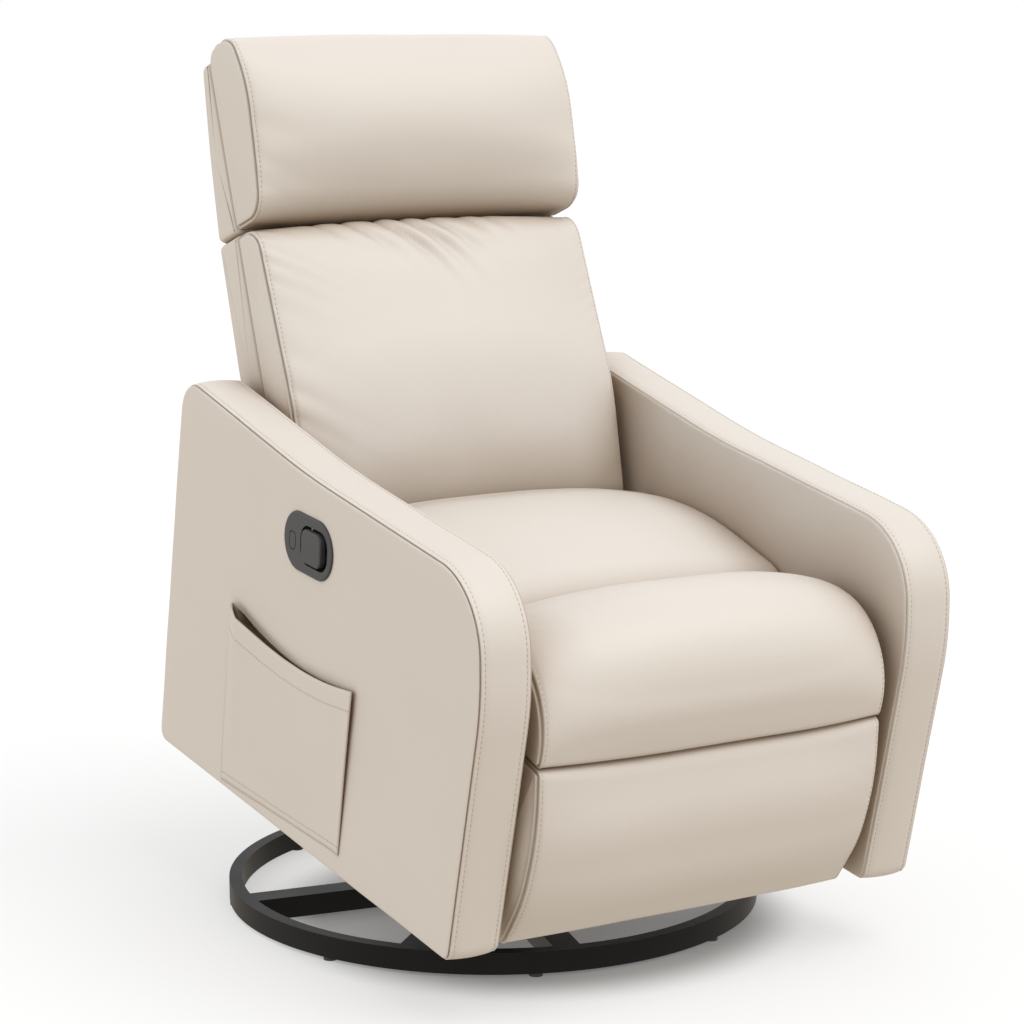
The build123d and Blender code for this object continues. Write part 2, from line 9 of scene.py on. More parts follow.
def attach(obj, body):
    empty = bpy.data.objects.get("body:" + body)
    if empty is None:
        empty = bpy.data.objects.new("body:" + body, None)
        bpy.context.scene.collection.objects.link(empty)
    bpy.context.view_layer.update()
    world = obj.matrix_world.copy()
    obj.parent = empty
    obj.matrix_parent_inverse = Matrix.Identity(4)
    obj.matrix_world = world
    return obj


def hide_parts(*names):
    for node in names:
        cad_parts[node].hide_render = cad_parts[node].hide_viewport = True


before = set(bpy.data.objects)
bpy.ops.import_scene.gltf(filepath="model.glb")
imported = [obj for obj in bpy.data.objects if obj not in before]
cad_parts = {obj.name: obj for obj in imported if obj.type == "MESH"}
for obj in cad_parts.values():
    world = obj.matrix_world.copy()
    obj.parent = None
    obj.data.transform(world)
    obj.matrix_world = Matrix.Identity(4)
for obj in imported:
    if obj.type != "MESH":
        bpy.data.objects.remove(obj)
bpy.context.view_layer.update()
scene = bpy.context.scene
MM = 0.001

# Sizes of the upholstery in millimetres, as the solids have them; side outlines are (y, z)
OUTER = 310.0  # outer face of the arms, from the middle of the chair
INNER = 246.0  # their inner face
# Side outline of an arm, and the radii at its corners
ARM_CORNERS = ((385, 174), (295.5, 643.4), (-20, 565), (-398, 501), (-399, 372), (-330, 83))
ARM_ROUNDS = (16, 39, 1500, 95, 300, 12)
BACK_FOOT = (135.0, 474.0)  # foot of the plane that the back is measured from
BACK_RAKE = math.radians(19.0)
BACK_HALF = 230.0  # half the width of the back cushion and the headrest
SHELL_HALF = 229.0
SEAT_HALF = 243.0
FOOT_HALF = 229.0
FOOT_SEAM = (-387.0, 288.0)  # seam between the footrest's roll and its lower pad
FOOT_RAKE = math.radians(19.6)
LATCH_AT = (-30.0, 485.0)  # origin of the latch on the right arm
LATCH_TILT = math.radians(5.0)
# Corners of the side pocket: upper rear, upper front, lower front and lower rear
POCKET = ((167.0, 385.0), (-136.0, 339.0), (-92.0, 141.0), (208.0, 161.0))
POCKET_SAG = 19.0  # how far the pocket's upper edge hangs through


# Planes that the side outlines lie in: (a, b) of the outline and x give a point
def upright(a, b, x):
    return np.stack([x + 0 * a, a, b], -1)


def on_back(a, b, x):
    c, s = math.cos(BACK_RAKE), math.sin(BACK_RAKE)
    return np.stack([x + 0 * a, BACK_FOOT[0] + a * c + b * s, BACK_FOOT[1] - a * s + b * c], -1)


def on_foot(a, b, x):
    c, s = math.cos(FOOT_RAKE), math.sin(FOOT_RAKE)
    return np.stack([x + 0 * a, FOOT_SEAM[0] + a * c - b * s, FOOT_SEAM[1] + a * s + b * c], -1)


# Outlines
def rounded(points, radii, steps=14):
    """A closed outline with each corner rounded, as an array of points."""
    out = []
    count = len(points)
    for i in range(count):
        p, before, after = (np.array(points[k % count], float) for k in (i, i - 1, i + 1))
        u = (before - p) / np.linalg.norm(before - p)
        v = (after - p) / np.linalg.norm(after - p)
        half = math.acos(np.clip(u @ v, -1, 1)) / 2
        centre = p + (u + v) / np.linalg.norm(u + v) * radii[i] / math.sin(half)
        first, last = p + u * radii[i] / math.tan(half), p + v * radii[i] / math.tan(half)
        a0 = math.atan2(*(first - centre)[::-1])
        turn = (math.atan2(*(last - centre)[::-1]) - a0 + math.pi) % (2 * math.pi) - math.pi
        for k in range(steps + 1):
            a = a0 + turn * k / steps
            out.append(centre + radii[i] * np.array([math.cos(a), math.sin(a)]))
    return np.array(out)


def resample(line, count):
    """The closed line as evenly spaced points from its first one."""
    loop = closed(line)
    run = np.concatenate([[0], np.cumsum(np.linalg.norm(np.diff(loop, axis=0), axis=1))])
    at = np.linspace(0, run[-1], count, endpoint=False)
    return np.stack([np.interp(at, run, loop[:, k]) for k in (0, 1)], -1)


def closed(line):
    """The line with its first point once more at its end."""
    return np.vstack([line, line[:1]])


def inwards(line):
    """Unit normals of a closed line, towards its inside."""
    along = np.roll(line, -1, 0) - np.roll(line, 1, 0)
    along /= np.linalg.norm(along, axis=1)[:, None]
    normal = np.stack([-along[:, 1], along[:, 0]], -1)
    x, y = line[:, 0], line[:, 1]
    area = np.sum(x * np.roll(y, -1) - np.roll(x, -1) * y)
    return normal if area > 0 else -normal


def inset_outline(corners, radii, depth):
    """The rounded outline of a polygon whose sides are all moved inwards."""
    points = np.array(corners, float)
    count = len(points)
    into = []
    for i in range(count):
        along = points[(i + 1) % count] - points[i]
        into.append(np.array([-along[1], along[0]]) / np.linalg.norm(along))
    area = sum(points[i - 1][0] * points[i][1] - points[i][0] * points[i - 1][1] for i in range(count))
    into = np.array(into) * (1 if area > 0 else -1)
    moved, rounds = [], []
    for i in range(count):
        a, b = into[i - 1], into[i]
        moved.append(points[i] + depth * (a + b) / (1 + a @ b))
        before, after = points[i] - points[i - 1], points[(i + 1) % count] - points[i]
        hollow = (before[0] * after[1] - before[1] * after[0]) * area < 0
        rounds.append(radii[i] + depth if hollow else max(radii[i] - depth, 3.0))
    return rounded(moved, rounds, 24)


def ripple(at, length, seed):
    """A smooth wave along a seam that comes and goes, between 0 and 1."""
    drift = 0.9 * np.sin(at / (2.7 * length) + seed) + 0.5 * np.sin(at / (1.3 * length) + 2.1 * seed)
    swing = np.sin(at / (2.3 * length) + 1.7 * seed) * np.sin(at / (1.7 * length) + 0.6 * seed)
    wave = 0.5 + 0.5 * np.sin(2 * math.pi * (at / length + drift))
    return wave ** 1.6 * np.clip(0.3 + 0.7 * swing, 0, 1)


# Meshes
def face_outwards(mesh):
    bm = bmesh.new()
    bm.from_mesh(mesh)
    bmesh.ops.recalc_face_normals(bm, faces=bm.faces)
    bm.to_mesh(mesh)
    bm.free()


def new_mesh(name, verts, faces, body, finish):
    """A smooth upholstery piece from points in millimetres, riding on a body."""
    mesh = bpy.data.meshes.new(name)
    mesh.from_pydata([tuple(v) for v in np.asarray(verts) * MM], [], faces)
    mesh.validate()
    face_outwards(mesh)
    mesh.polygons.foreach_set("use_smooth", [True] * len(mesh.polygons))
    obj = bpy.data.objects.new(name, mesh)
    scene.collection.objects.link(obj)
    mesh.materials.append(finish)
    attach(obj, body)
    return obj


def cover_mesh(name, grid, body):
    """A closed leather cover from a (rows, count, 3) grid of closed loops, with a fan at each end."""
    rows, count = grid.shape[:2]
    faces = []
    for r in range(rows - 1):
        for i in range(count):
            j = (i + 1) % count
            faces.append((r * count + i, r * count + j, (r + 1) * count + j, (r + 1) * count + i))
    first, last = rows * count, rows * count + 1
    for i in range(count):
        j = (i + 1) % count
        faces.append((first, j, i))
        faces.append((last, (rows - 1) * count + i, (rows - 1) * count + j))
    verts = np.vstack([grid.reshape(-1, 3), grid[0].mean(0), grid[-1].mean(0)])
    return new_mesh(name, verts, faces, body, CREAM)


def surface_normals(grid):
    """Normals of a (rows, count, 3) grid of closed loops."""
    down = np.gradient(grid, axis=0)
    along = np.roll(grid, -1, 1) - np.roll(grid, 1, 1)
    n = np.cross(along, down)
    return n / np.maximum(np.linalg.norm(n, axis=2), 1e-9)[..., None]


def uneven(grid, size, depth, shift):
    """Small soft unevenness for a grid of points in millimetres."""
    values = [noise.noise(Vector(tuple(p / size + shift))) for p in grid.reshape(-1, 3)]
    return depth * np.array(values).reshape(grid.shape[:2])


# Materials
def material(name):
    mat = bpy.data.materials.new(name)
    mat.use_nodes = True
    tree = mat.node_tree
    return mat, tree, tree.nodes["Principled BSDF"]


def add(tree, kind, **values):
    node = tree.nodes.new(kind)
    for key, value in values.items():
        if key in node.inputs:
            node.inputs[key].default_value = value
        else:
            setattr(node, key, value)
    return node


def mapped(tree, kind, **values):
    """A node that takes the object's own coordinates."""
    node = add(tree, kind, **values)
    tree.links.new(add(tree, "ShaderNodeTexCoord").outputs["Object"], node.inputs["Vector"])
    return node


def colour_between(tree, factor, first, last):
    """A colour that goes from the first to the last with the factor."""
    node = add(tree, "ShaderNodeMix", data_type="RGBA")
    node.inputs["A"].default_value = (*first, 1)
    node.inputs["B"].default_value = (*last, 1)
    tree.links.new(factor, node.inputs["Factor"])
    return node.outputs["Result"]


def remapped(tree, value, given, wanted, interpolation="LINEAR"):
    """A value taken from the given range to the wanted one."""
    node = add(tree, "ShaderNodeMapRange", interpolation_type=interpolation)
    for key, number in zip(("From Min", "From Max", "To Min", "To Max"), (*given, *wanted)):
        node.inputs[key].default_value = number
    tree.links.new(value, node.inputs["Value"])
    return node.outputs["Result"]


def emboss(tree, shader, height, strength, distance):
    bump = add(tree, "ShaderNodeBump", Strength=strength, Distance=distance)
    tree.links.new(height, bump.inputs["Height"])
    tree.links.new(bump.outputs["Normal"], shader.inputs["Normal"])


def leather(name, colour, dark, crease):
    """Grained leather, a little cloudy, with painted shade: ambient occlusion darkens its colour towards the
    crease colour in hollows and narrow gaps.
    """
    mat, tree, shader = material(name)
    link = tree.links.new
    cloud = mapped(tree, "ShaderNodeTexNoise", Scale=7.0, Detail=3.0).outputs["Fac"]
    # Painted shade: the colour is darkened towards the crease colour where ambient occlusion finds hollows
    # and narrow gaps
    hollow = add(tree, "ShaderNodeAmbientOcclusion", samples=4, Distance=0.09)
    shaded = add(tree, "ShaderNodeMix", data_type="RGBA", blend_type="MULTIPLY")
    shaded.inputs["Factor"].default_value = 1.0
    link(colour_between(tree, cloud, dark, colour), shaded.inputs["A"])
    link(colour_between(tree, hollow.outputs["AO"], crease, (1, 1, 1)), shaded.inputs["B"])
    link(shaded.outputs["Result"], shader.inputs["Base Color"])
    pebbles = mapped(tree, "ShaderNodeTexVoronoi", Scale=760.0, feature="SMOOTH_F1")
    fine = mapped(tree, "ShaderNodeTexNoise", Scale=1900.0, Detail=2.0)
    total = add(tree, "ShaderNodeMath", operation="MULTIPLY_ADD")
    link(fine.outputs["Fac"], total.inputs[0])
    total.inputs[1].default_value = 0.35
    link(pebbles.outputs["Distance"], total.inputs[2])
    emboss(tree, shader, total.outputs["Value"], 0.16, 0.0006)
    link(remapped(tree, cloud, (0, 1), (0.40, 0.52)), shader.inputs["Roughness"])
    shader.inputs["Specular IOR Level"].default_value = 0.42
    shader.inputs["Sheen Weight"].default_value = 0.06
    return mat


def coated(name, colour, roughness, grain, depth, metallic=0.0, gloss=0.4):
    """Paint, plastic, thread or metal with a fine surface grain."""
    mat, tree, shader = material(name)
    link = tree.links.new
    speck = mapped(tree, "ShaderNodeTexNoise", Scale=grain, Detail=2.0)
    emboss(tree, shader, speck.outputs["Fac"], depth, 0.0004)
    broad = mapped(tree, "ShaderNodeTexNoise", Scale=18.0, Detail=2.0).outputs["Fac"]
    darker, lighter = ([min(1, c * share) for c in colour] for share in (0.8, 1.2))
    link(colour_between(tree, broad, darker, lighter), shader.inputs["Base Color"])
    link(remapped(tree, broad, (0, 1), (roughness - 0.06, roughness + 0.06)), shader.inputs["Roughness"])
    shader.inputs["Metallic"].default_value = metallic
    shader.inputs["Specular IOR Level"].default_value = gloss
    return mat


def timber(name):
    mat, tree, shader = material(name)
    wave = mapped(tree, "ShaderNodeTexWave", Scale=14.0, Distortion=5.0, Detail=3.0).outputs["Fac"]
    colour = colour_between(tree, wave, (0.42, 0.29, 0.17), (0.58, 0.43, 0.27))
    tree.links.new(colour, shader.inputs["Base Color"])
    emboss(tree, shader, wave, 0.2, 0.0005)
    shader.inputs["Roughness"].default_value = 0.62
    return mat


# The leather's last colour is the painted shade that its hollows and narrow gaps are darkened to
CREAM = leather("cream_leather", (0.565, 0.521, 0.474), (0.548, 0.502, 0.452), (0.60, 0.47, 0.34))
THREAD = coated("cream_thread", (0.42, 0.36, 0.28), 0.7, 1500.0, 0.3)
BLACK = coated("black_paint", (0.007, 0.007, 0.008), 0.45, 900.0, 0.15, gloss=0.12)
STEEL = coated("bare_steel", (0.42, 0.42, 0.43), 0.38, 700.0, 0.1, metallic=1.0)
PLASTIC = coated("dark_plastic", (0.035, 0.036, 0.039), 0.45, 1600.0, 0.25)
RUBBER = coated("glide_rubber", (0.02, 0.02, 0.02), 0.7, 800.0, 0.3)
TIMBER = timber("plain_timber")

# One stitch: rings along it as (place along, radius, lift), thinner and lower at its ends
STITCH_PITCH = 6.0
STITCH_LONG = 4.2
STITCH_SIDES = 6
STITCH_RINGS = ((0.0, 0.45, -0.4), (0.2, 1.0, 0.1), (0.8, 1.0, 0.1), (1.0, 0.45, -0.4))


def point_at(place, run, values):
    return np.array([np.interp(place, run, values[:, c]) for c in range(3)])


def stitches(name, lines, body, radius=0.5):
    """Rows of separate thread stitches, each row a line of points and the normals there."""
    n = STITCH_SIDES
    circle = [(math.cos(a), math.sin(a)) for a in np.linspace(0, 2 * math.pi, n, endpoint=False)]
    verts, faces = [], []
    for line, normals in lines:
        run = np.concatenate([[0], np.cumsum(np.linalg.norm(np.diff(line, axis=0), axis=1))])
        count = int(run[-1] / STITCH_PITCH)
        for k in range(count):
            mid = (k + 0.5) * run[-1] / count
            start, end = (point_at(mid + t, run, line) for t in (-STITCH_LONG / 2, STITCH_LONG / 2))
            size = np.linalg.norm(end - start)
            if size < 0.5 * STITCH_LONG:
                continue
            along = (end - start) / size
            side = np.cross(along, point_at(mid, run, normals))
            side /= np.linalg.norm(side)
            up = np.cross(side, along)
            base = len(verts)
            for t, r, lift in STITCH_RINGS:
                centre = start + along * size * t + up * lift
                verts += [centre + radius * r * (c * side + s * up) for c, s in circle]
            for row in range(len(STITCH_RINGS) - 1):
                a = base + row * n
                faces += [(a + i, a + (i + 1) % n, a + n + (i + 1) % n, a + n + i) for i in range(n)]
            faces.append(tuple(base + i for i in range(n)))
            faces.append(tuple(len(verts) - n + i for i in range(n)))
    return new_mesh(name, verts, faces, body, THREAD)


CLOTH_FRAMES = 20


def swell(obj, held):
    """How far each point of a cover moves when it is inflated as cloth, its sewn and resting parts held."""
    start = np.array([v.co[:] for v in obj.data.vertices])
    group = obj.vertex_groups.new(name="sewn")
    group.add([int(i) for i in np.nonzero(held)[0]], 1.0, "REPLACE")
    mod = obj.modifiers.new("cloth", "CLOTH")
    cloth = mod.settings
    cloth.quality = 4
    cloth.mass = 0.3
    cloth.tension_stiffness = 15
    cloth.compression_stiffness = 15
    cloth.shear_stiffness = 5
    cloth.bending_stiffness = 0.6
    cloth.use_pressure = True
    cloth.uniform_pressure_force = 4.0
    cloth.effector_weights.gravity = 0
    cloth.shrink_min = -0.012
    cloth.vertex_group_mass = "sewn"
    mod.collision_settings.use_collision = False
    mod.point_cache.frame_start = 1
    mod.point_cache.frame_end = CLOTH_FRAMES
    for number in range(1, CLOTH_FRAMES + 1):
        scene.frame_set(number)
    shape = obj.evaluated_get(bpy.context.evaluated_depsgraph_get())
    done = np.array([v.co[:] for v in shape.data.vertices])
    obj.modifiers.remove(mod)
    scene.frame_set(1)
    obj.vertex_groups.remove(group)
    return (done - start) / MM


# Cushions whose cover wraps round a side outline, with an end panel sewn in at each side
SEAM_ZONE = 48.0  # width beside a seam that has rows of its own, at these distances from the end
SEAM_ROWS = (3.0, 4.0, 5.2, 6.6, 8.2, 10.5, 14.0, 19.0, 25.0, 32.0, 40.0)
WELT = {4.0: -0.4, 5.2: -0.6, 6.6: 0.4}  # how far some of these rows go in, or out below zero
STITCH_ROW = 3
END_EDGE = ((5.0, 0.3), (3.6, 0.9))  # rows at an end panel's edge: how far in, and how far from the end
GROOVE = (4.8, 4.8)  # the row at the bottom of a seam, in the same way
END_RINGS = np.linspace(0.1, 0.94, 10)  # rings of an end panel inside its edge, as shares of its size
GATHER_NEAR, GATHER_FAR = 2.6, 1.2  # depth of the gathers at the side that the photo shows, and at the other
GATHER_START, GATHER_REACH = 6.0, 30.0  # how they begin beside the seam, and fade out
GATHER_WAVE = 33.0
SMOOTHING_PASSES = 60


def cushion(name, place, outline, half, body, node, holds=None, bulge=4.0, count=190, corner=7.0,
            pucker=1.0, relief=None, sewn=True, seed=1.0, power=2.5, cap=5.0, pitch=8.5):
    """A padded cover round outline(full), put in its plane by place and 2 * half wide.

    holds says where the outline rests on something; without it the cover isn't inflated. bulge is the
    swell of the end panels, corner the rounding towards them, pucker the strength of the gathers and
    relief(line, x) the folds. power shapes the crown across the width, cap limits the cloth's swell, and
    pitch is the distance between the rows in the middle.
    """
    inner = half - SEAM_ZONE
    right = list(np.linspace(0, inner, int(inner / pitch))) + [half - d for d in SEAM_ROWS[::-1]]
    xs = [-x for x in right[:0:-1]] + right
    flat = resample(outline(1), count)
    length = np.sum(np.linalg.norm(np.roll(flat, -1, 0) - flat, axis=1))
    at = np.arange(count) / count * length

    def section(x, extra):
        line = resample(outline(1 - (abs(x) / half) ** power), count)
        return line + inwards(line) * extra

    def end_panel(sign):
        """Loops of the end panel, from its middle out to the seam."""
        rim = section(half, corner)
        middle = rim.mean(0)
        out = []
        for k in END_RINGS:
            out.append(place(*(middle + (rim - middle) * k).T, sign * (half + bulge * (1 - k * k))))
        for offset, d in ((corner, 0.0), *END_EDGE, *([GROOVE] if sewn else [])):
            out.append(place(*section(half, offset).T, sign * (half - d)))
        return out

    left = end_panel(-1)
    loops, detail = list(left), [0 * loop for loop in left]
    for x in xs:
        d = half - abs(x)
        extra = corner - math.sqrt(corner ** 2 - max(0.0, corner - d) ** 2)
        if sewn:
            extra += sum(lift for where, lift in WELT.items() if abs(where - d) < 0.01)
        line = section(x, extra)
        loops.append(place(*line.T, x))
        depth = pucker * (GATHER_NEAR if x < 0 else GATHER_FAR)
        gather = depth * math.exp(-d / GATHER_REACH) * (1 - math.exp(-d / GATHER_START))
        crease = gather * ripple(at + 0.6 * d, GATHER_WAVE, seed + (1.3 if x > 0 else 0))
        if relief is not None:
            crease = crease + relief(line, x)
        detail.append(place(*(line + inwards(line) * crease[:, None]).T, x) - loops[-1])
    loops += end_panel(1)[::-1]
    detail += [0 * loop for loop in left]
    grid = np.array(loops)
    rows, first = len(grid), len(left)
    normals = surface_normals(grid)
    normals *= np.sign(np.sum(normals * (grid - grid.mean((0, 1)))))
    soft = slice(first + STITCH_ROW + 1, rows - first - STITCH_ROW - 1)
    grid[soft] += (normals * uneven(grid, size=110.0, depth=0.9, shift=seed)[..., None])[soft]
    obj = cover_mesh(name, grid, body)
    ends = grid[[0, -1]].mean(1)
    if holds is not None:
        resting = holds(*np.moveaxis(np.array([section(x, 0.0) for x in xs]), 2, 0))
        held = np.ones((rows, count), bool)
        held[first + STITCH_ROW:rows - first - STITCH_ROW] = resting[STITCH_ROW:-STITCH_ROW]
        move = swell(obj, np.concatenate([held.ravel(), [True, True]]))[:rows * count]
        push = np.clip(np.sum(move.reshape(rows, count, 3) * normals, axis=2), 0, cap)
        # The raw result wrinkles more than the photo shows, so only its smooth outward part stays
        for _ in range(SMOOTHING_PASSES):
            beside = np.roll(push, 1, 0) + np.roll(push, -1, 0) + np.roll(push, 1, 1) + np.roll(push, -1, 1)
            push = np.where(held, 0, 0.5 * push + 0.125 * beside)
        grid += normals * push[..., None]
    grid += np.array(detail)
    obj.data.vertices.foreach_set("co", (np.vstack([grid.reshape(-1, 3), ends]) * MM).ravel())
    obj.data.update()
    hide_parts(node)
    if sewn:
        sewn_rows = (first + STITCH_ROW, rows - first - STITCH_ROW - 1)
        stitches(name + "_stitch", [(closed(grid[row]), closed(normals[row])) for row in sewn_rows], body)


# Side outlines of the cushions: full goes from 0 at the end panels to 1 half-way between them
def between(ends, middle, full):
    return ends + (middle - ends) * full


def seat_outline(full):
    low, rise = 340.4, between(-13, 6, full)
    top = 489.0 + rise
    lean = math.tan(BACK_RAKE)
    rear = BACK_FOOT[0] - 9.0
    return rounded(
        ((rear + (low - BACK_FOOT[1]) * lean, low), (rear + (top - BACK_FOOT[1]) * lean, top),
         (-20, 487 + rise), (-189, 432 + rise), (-189, low)),
        (6, 12, 520, 52, 8))


def back_outline(full):
    back, low, high = 54.6, -25.0, between(368, 373, full)
    return rounded(
        ((back, low), (between(9, 14, full), low), (between(-14, -46, full), 140),
         (between(3, -12, full), high), (back, high)),
        (6, between(45, 60, full), 345, between(32, 45, full), 8))


def head_outline(full):
    back, low, high = 54.6, between(377, 374.6, full), between(603, 607, full)
    belly = low + between(0.7, 0.62, full) * (high - low)
    return rounded(
        ((back, low), (between(-13, 4, full), low), (between(-24.5, -44, full), low + 62),
         (between(-35, -57, full), belly), (between(-12, -10, full), high), (back, high)),
        (6, between(34, 85, full), between(200, 120, full),
         between(170, 150, full), between(32, 40, full), 24))


def roll_outline(full):
    lean = math.tan(FOOT_RAKE)
    front_y = FOOT_SEAM[0] + 45 / math.cos(FOOT_RAKE)
    edge = front_y + (FOOT_SEAM[1] - 315) * lean - 0.4
    lip, low = 289.2, 330.6
    draw = between(7, 0, full)
    return rounded(
        ((edge, low), (edge, lip + (edge - FOOT_SEAM[0]) * lean),
         (FOOT_SEAM[0] + draw, lip + draw * lean), (between(-397, -405, full), between(348, 342, full)),
         (between(-352, -400, full), between(412, 447, full)), (-285, between(432, 454, full)),
         (-200 - draw / 2, between(412, 430, full)), (-191, low)),
        (2, 2, 8, between(95, 60, full), between(90, 86, full), 110, 34, 6))


def foot_outline(full):
    depth, top, end = 44.6, -0.8, between(-224, -227, full)
    edge = between(7, 0, full)
    return rounded(
        ((depth, top), (edge, top), (between(-13, -26, full), -70), (between(-13, -30, full), -150),
         (edge, end), (depth, end)),
        (4, between(9, 22, full), between(300, 150, full), between(200, 120, full),
         between(15, 45, full), 6))


# Folds that run down from under the headrest: place across, depth, length and width
FOLDS = ((-146, 3.0, 30, 8), (-107, 5.0, 46, 8), (-62, 8.0, 74, 8), (-27, 7.5, 66, 8), (9, 5.5, 50, 8),
         (57, 3.0, 34, 9), (92, 2.0, 26, 9))


def back_relief(line, x):
    """The depth of the folds, each with a low ridge beside it."""
    down = np.clip(370 - line[:, 1], 0, None)
    start = 0.4 + 0.6 * np.clip(down / 14, 0, 1)
    out = np.zeros(len(line))
    for across, depth, drop, wide in FOLDS:
        aside = x - (across + 1.3 * down - 0.0055 * down ** 2)
        fade = depth * start * np.exp(-(down / drop) ** 2)
        out += fade * np.exp(-(aside / (wide * (0.8 + down / 110))) ** 2)
        out -= 0.25 * fade * np.exp(-((aside - 17) / (wide * 1.3)) ** 2)
    return np.where(line[:, 0] < 40, out, 0)


cushion("seat_pad", upright, seat_outline, SEAT_HALF, "chassis", "seat_cushion",
        lambda a, b: (b < 380) | (a > 100), sewn=False, pucker=0.4)
cushion("back_pad", on_back, back_outline, BACK_HALF, "backrest", "back_cushion",
        lambda a, b: (a > 35) | (b < 0) | (b > 364), relief=back_relief, pucker=1.2, count=230, bulge=7.0,
        pitch=4.5)
cushion("head_pad", on_back, head_outline, BACK_HALF, "backrest", "headrest_pad",
        lambda a, b: (a > 35) | (b < 384), seed=2.0, pucker=1.0, power=3.0)
cushion("foot_roll_pad", upright, roll_outline, FOOT_HALF, "footrest", "foot_roll",
        lambda a, b: (b < 296) | ((b < 335) & (a > -345)), seed=3.0, pucker=0.9, power=3.0, bulge=1.2)
cushion("foot_lower_pad", on_foot, foot_outline, FOOT_HALF, "footrest", "foot_pad",
        lambda a, b: (a > 20) | (b > -8), seed=4.0, pucker=0.4, power=4.0, cap=3.0, bulge=9.0)


# Back shells: their low edge, widest place and high edge, as (height, depth)
def shell(name, node, low, belly, high, round_low, round_high):
    front = 54.0

    def outline(full):
        draw = between(2, 0, full)
        rear = [(depth - draw, height) for height, depth in (low, belly, high)]
        return rounded(((front, low[0]), *rear, (front, high[0])), (4, round_low, 400, round_high, 4))

    cushion(name, on_back, outline, SHELL_HALF, "backrest", node, bulge=1.0, corner=9.0, pucker=0.0,
            sewn=False)


shell("shell_low_cover", "back_shell_low", (-22, 92), (190, 117), (371.8, 112), 8, 9)
shell("shell_top_cover", "back_shell_top", (372.2, 112), (480, 99), (590, 79), 9, 12)


# The pocket's upper edge: u goes from 0 at its rear end to 1 at its front end
(MOUTH_REAR_Y, MOUTH_REAR_Z), (MOUTH_FRONT_Y, MOUTH_FRONT_Z) = POCKET[:2]


def mouth_height(u):
    return MOUTH_REAR_Z * (1 - u) + MOUTH_FRONT_Z * u - POCKET_SAG * 4 * u * (1 - u)


def pocket_mouth(u):
    return np.array([MOUTH_REAR_Y * (1 - u) + MOUTH_FRONT_Y * u, mouth_height(u)])


def mouth_dent(y, z):
    """How far the arm's panel gives way behind the edge, most at its rear end."""
    u = (y - MOUTH_REAR_Y) / (MOUTH_FRONT_Y - MOUTH_REAR_Y)
    inside = np.clip(u, 0, 1)
    edge = mouth_height(inside)
    above = np.clip(z - edge, 0, None) / 9.0
    below = np.clip(edge - 24.0 - z, 0, None) / 14.0
    ends = np.clip(u / 0.08, 0, 1) * np.clip((1 - u) / 0.12, 0, 1)
    return 5.0 * (0.2 + 0.8 * np.exp(-inside / 0.3)) * ends * np.exp(-above ** 2 - below ** 2)


# Arms: even rows in the core of a side panel, then rows as (distance from the edge, rise) down into the
# seam's groove
ARM_POINTS = 360
ARM_CORE = 44
ARM_CORE_ROWS = 44
ARM_PANEL_ROWS = ((34, 1.5), (24, 1.4), (16, 1.2), (11, 0.9))
ARM_EDGE_ROWS = ((6.5, 0.8), (4.2, 0.6), (2.8, 0.2), (2.0, -0.4), (3.2, -2.4))
# Rows of the band round the arm up to its middle: how far in, and the distance from the arm's face
ARM_BAND = ((0.6, 2.4), (-0.1, 3.6), (-0.5, 5.2), (0.1, 6.8), (-0.9, 9), (-1.6, 15), (-2.2, 24), (-2.4, 32))


def arm(tag, sign):
    def ring(depth):
        return resample(inset_outline(ARM_CORNERS, ARM_ROUNDS, depth), ARM_POINTS)

    line = ring(0)
    into = inwards(line)
    core = ring(ARM_CORE)
    middle = core.mean(0)
    panel = [(middle + (core - middle) * k, 1.8 - 0.3 * k) for k in np.linspace(0.05, 1.0, ARM_CORE_ROWS)]
    panel += [(ring(depth), rise) for depth, rise in ARM_PANEL_ROWS]
    panel += [(line + into * depth, rise) for depth, rise in ARM_EDGE_ROWS]
    first = len(panel)
    wide = OUTER - INNER
    band = ARM_BAND + tuple((offset, wide - at) for offset, at in ARM_BAND[-2::-1])
    loops = [upright(*shape.T, sign * (OUTER + rise)) for shape, rise in panel]
    loops += [upright(*(line + into * offset).T, sign * (OUTER - at)) for offset, at in band]
    loops += [upright(*shape.T, sign * (INNER - rise)) for shape, rise in panel[::-1]]
    grid = np.array(loops)
    normals = surface_normals(grid)
    crest = first + len(ARM_BAND) - 1
    normals *= np.sign(np.sum(normals[crest] * (grid[crest] - grid.mean((0, 1))), axis=1).mean())
    grid += normals * uneven(grid, size=95.0, depth=0.6, shift=3.0 * sign)[..., None]
    if tag == "right":
        grid[:first, :, 0] += mouth_dent(grid[:first, :, 1], grid[:first, :, 2])
    obj = cover_mesh(f"arm_{tag}_cover", grid, "chassis")
    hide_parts(f"arm_cover_{tag}")
    sewn_rows = (first + STITCH_ROW, len(grid) - first - STITCH_ROW - 1)
    stitches(f"arm_{tag}_stitch", [(closed(grid[row]), closed(normals[row])) for row in sewn_rows], "chassis")
    return obj


arm("left", 1)
arm_right = arm("right", -1)


def cut(obj, near, far):
    """Cuts a hole in a mesh, between two outlines of as many points each."""
    n = len(near)
    faces = [tuple(range(n)), tuple(range(n, 2 * n))]
    faces += [(i, (i + 1) % n, n + (i + 1) % n, n + i) for i in range(n)]
    mesh = bpy.data.meshes.new("cutter")
    mesh.from_pydata([tuple(MM * c for c in v) for v in list(near) + list(far)], [], faces)
    face_outwards(mesh)
    cutter = bpy.data.objects.new("cutter", mesh)
    scene.collection.objects.link(cutter)
    mod = obj.modifiers.new("hole", "BOOLEAN")
    mod.object = cutter
    mod.operation = "DIFFERENCE"
    mod.solver = "EXACT"
    bpy.context.view_layer.objects.active = obj
    bpy.ops.object.modifier_apply(modifier=mod.name)
    bpy.data.objects.remove(cutter)


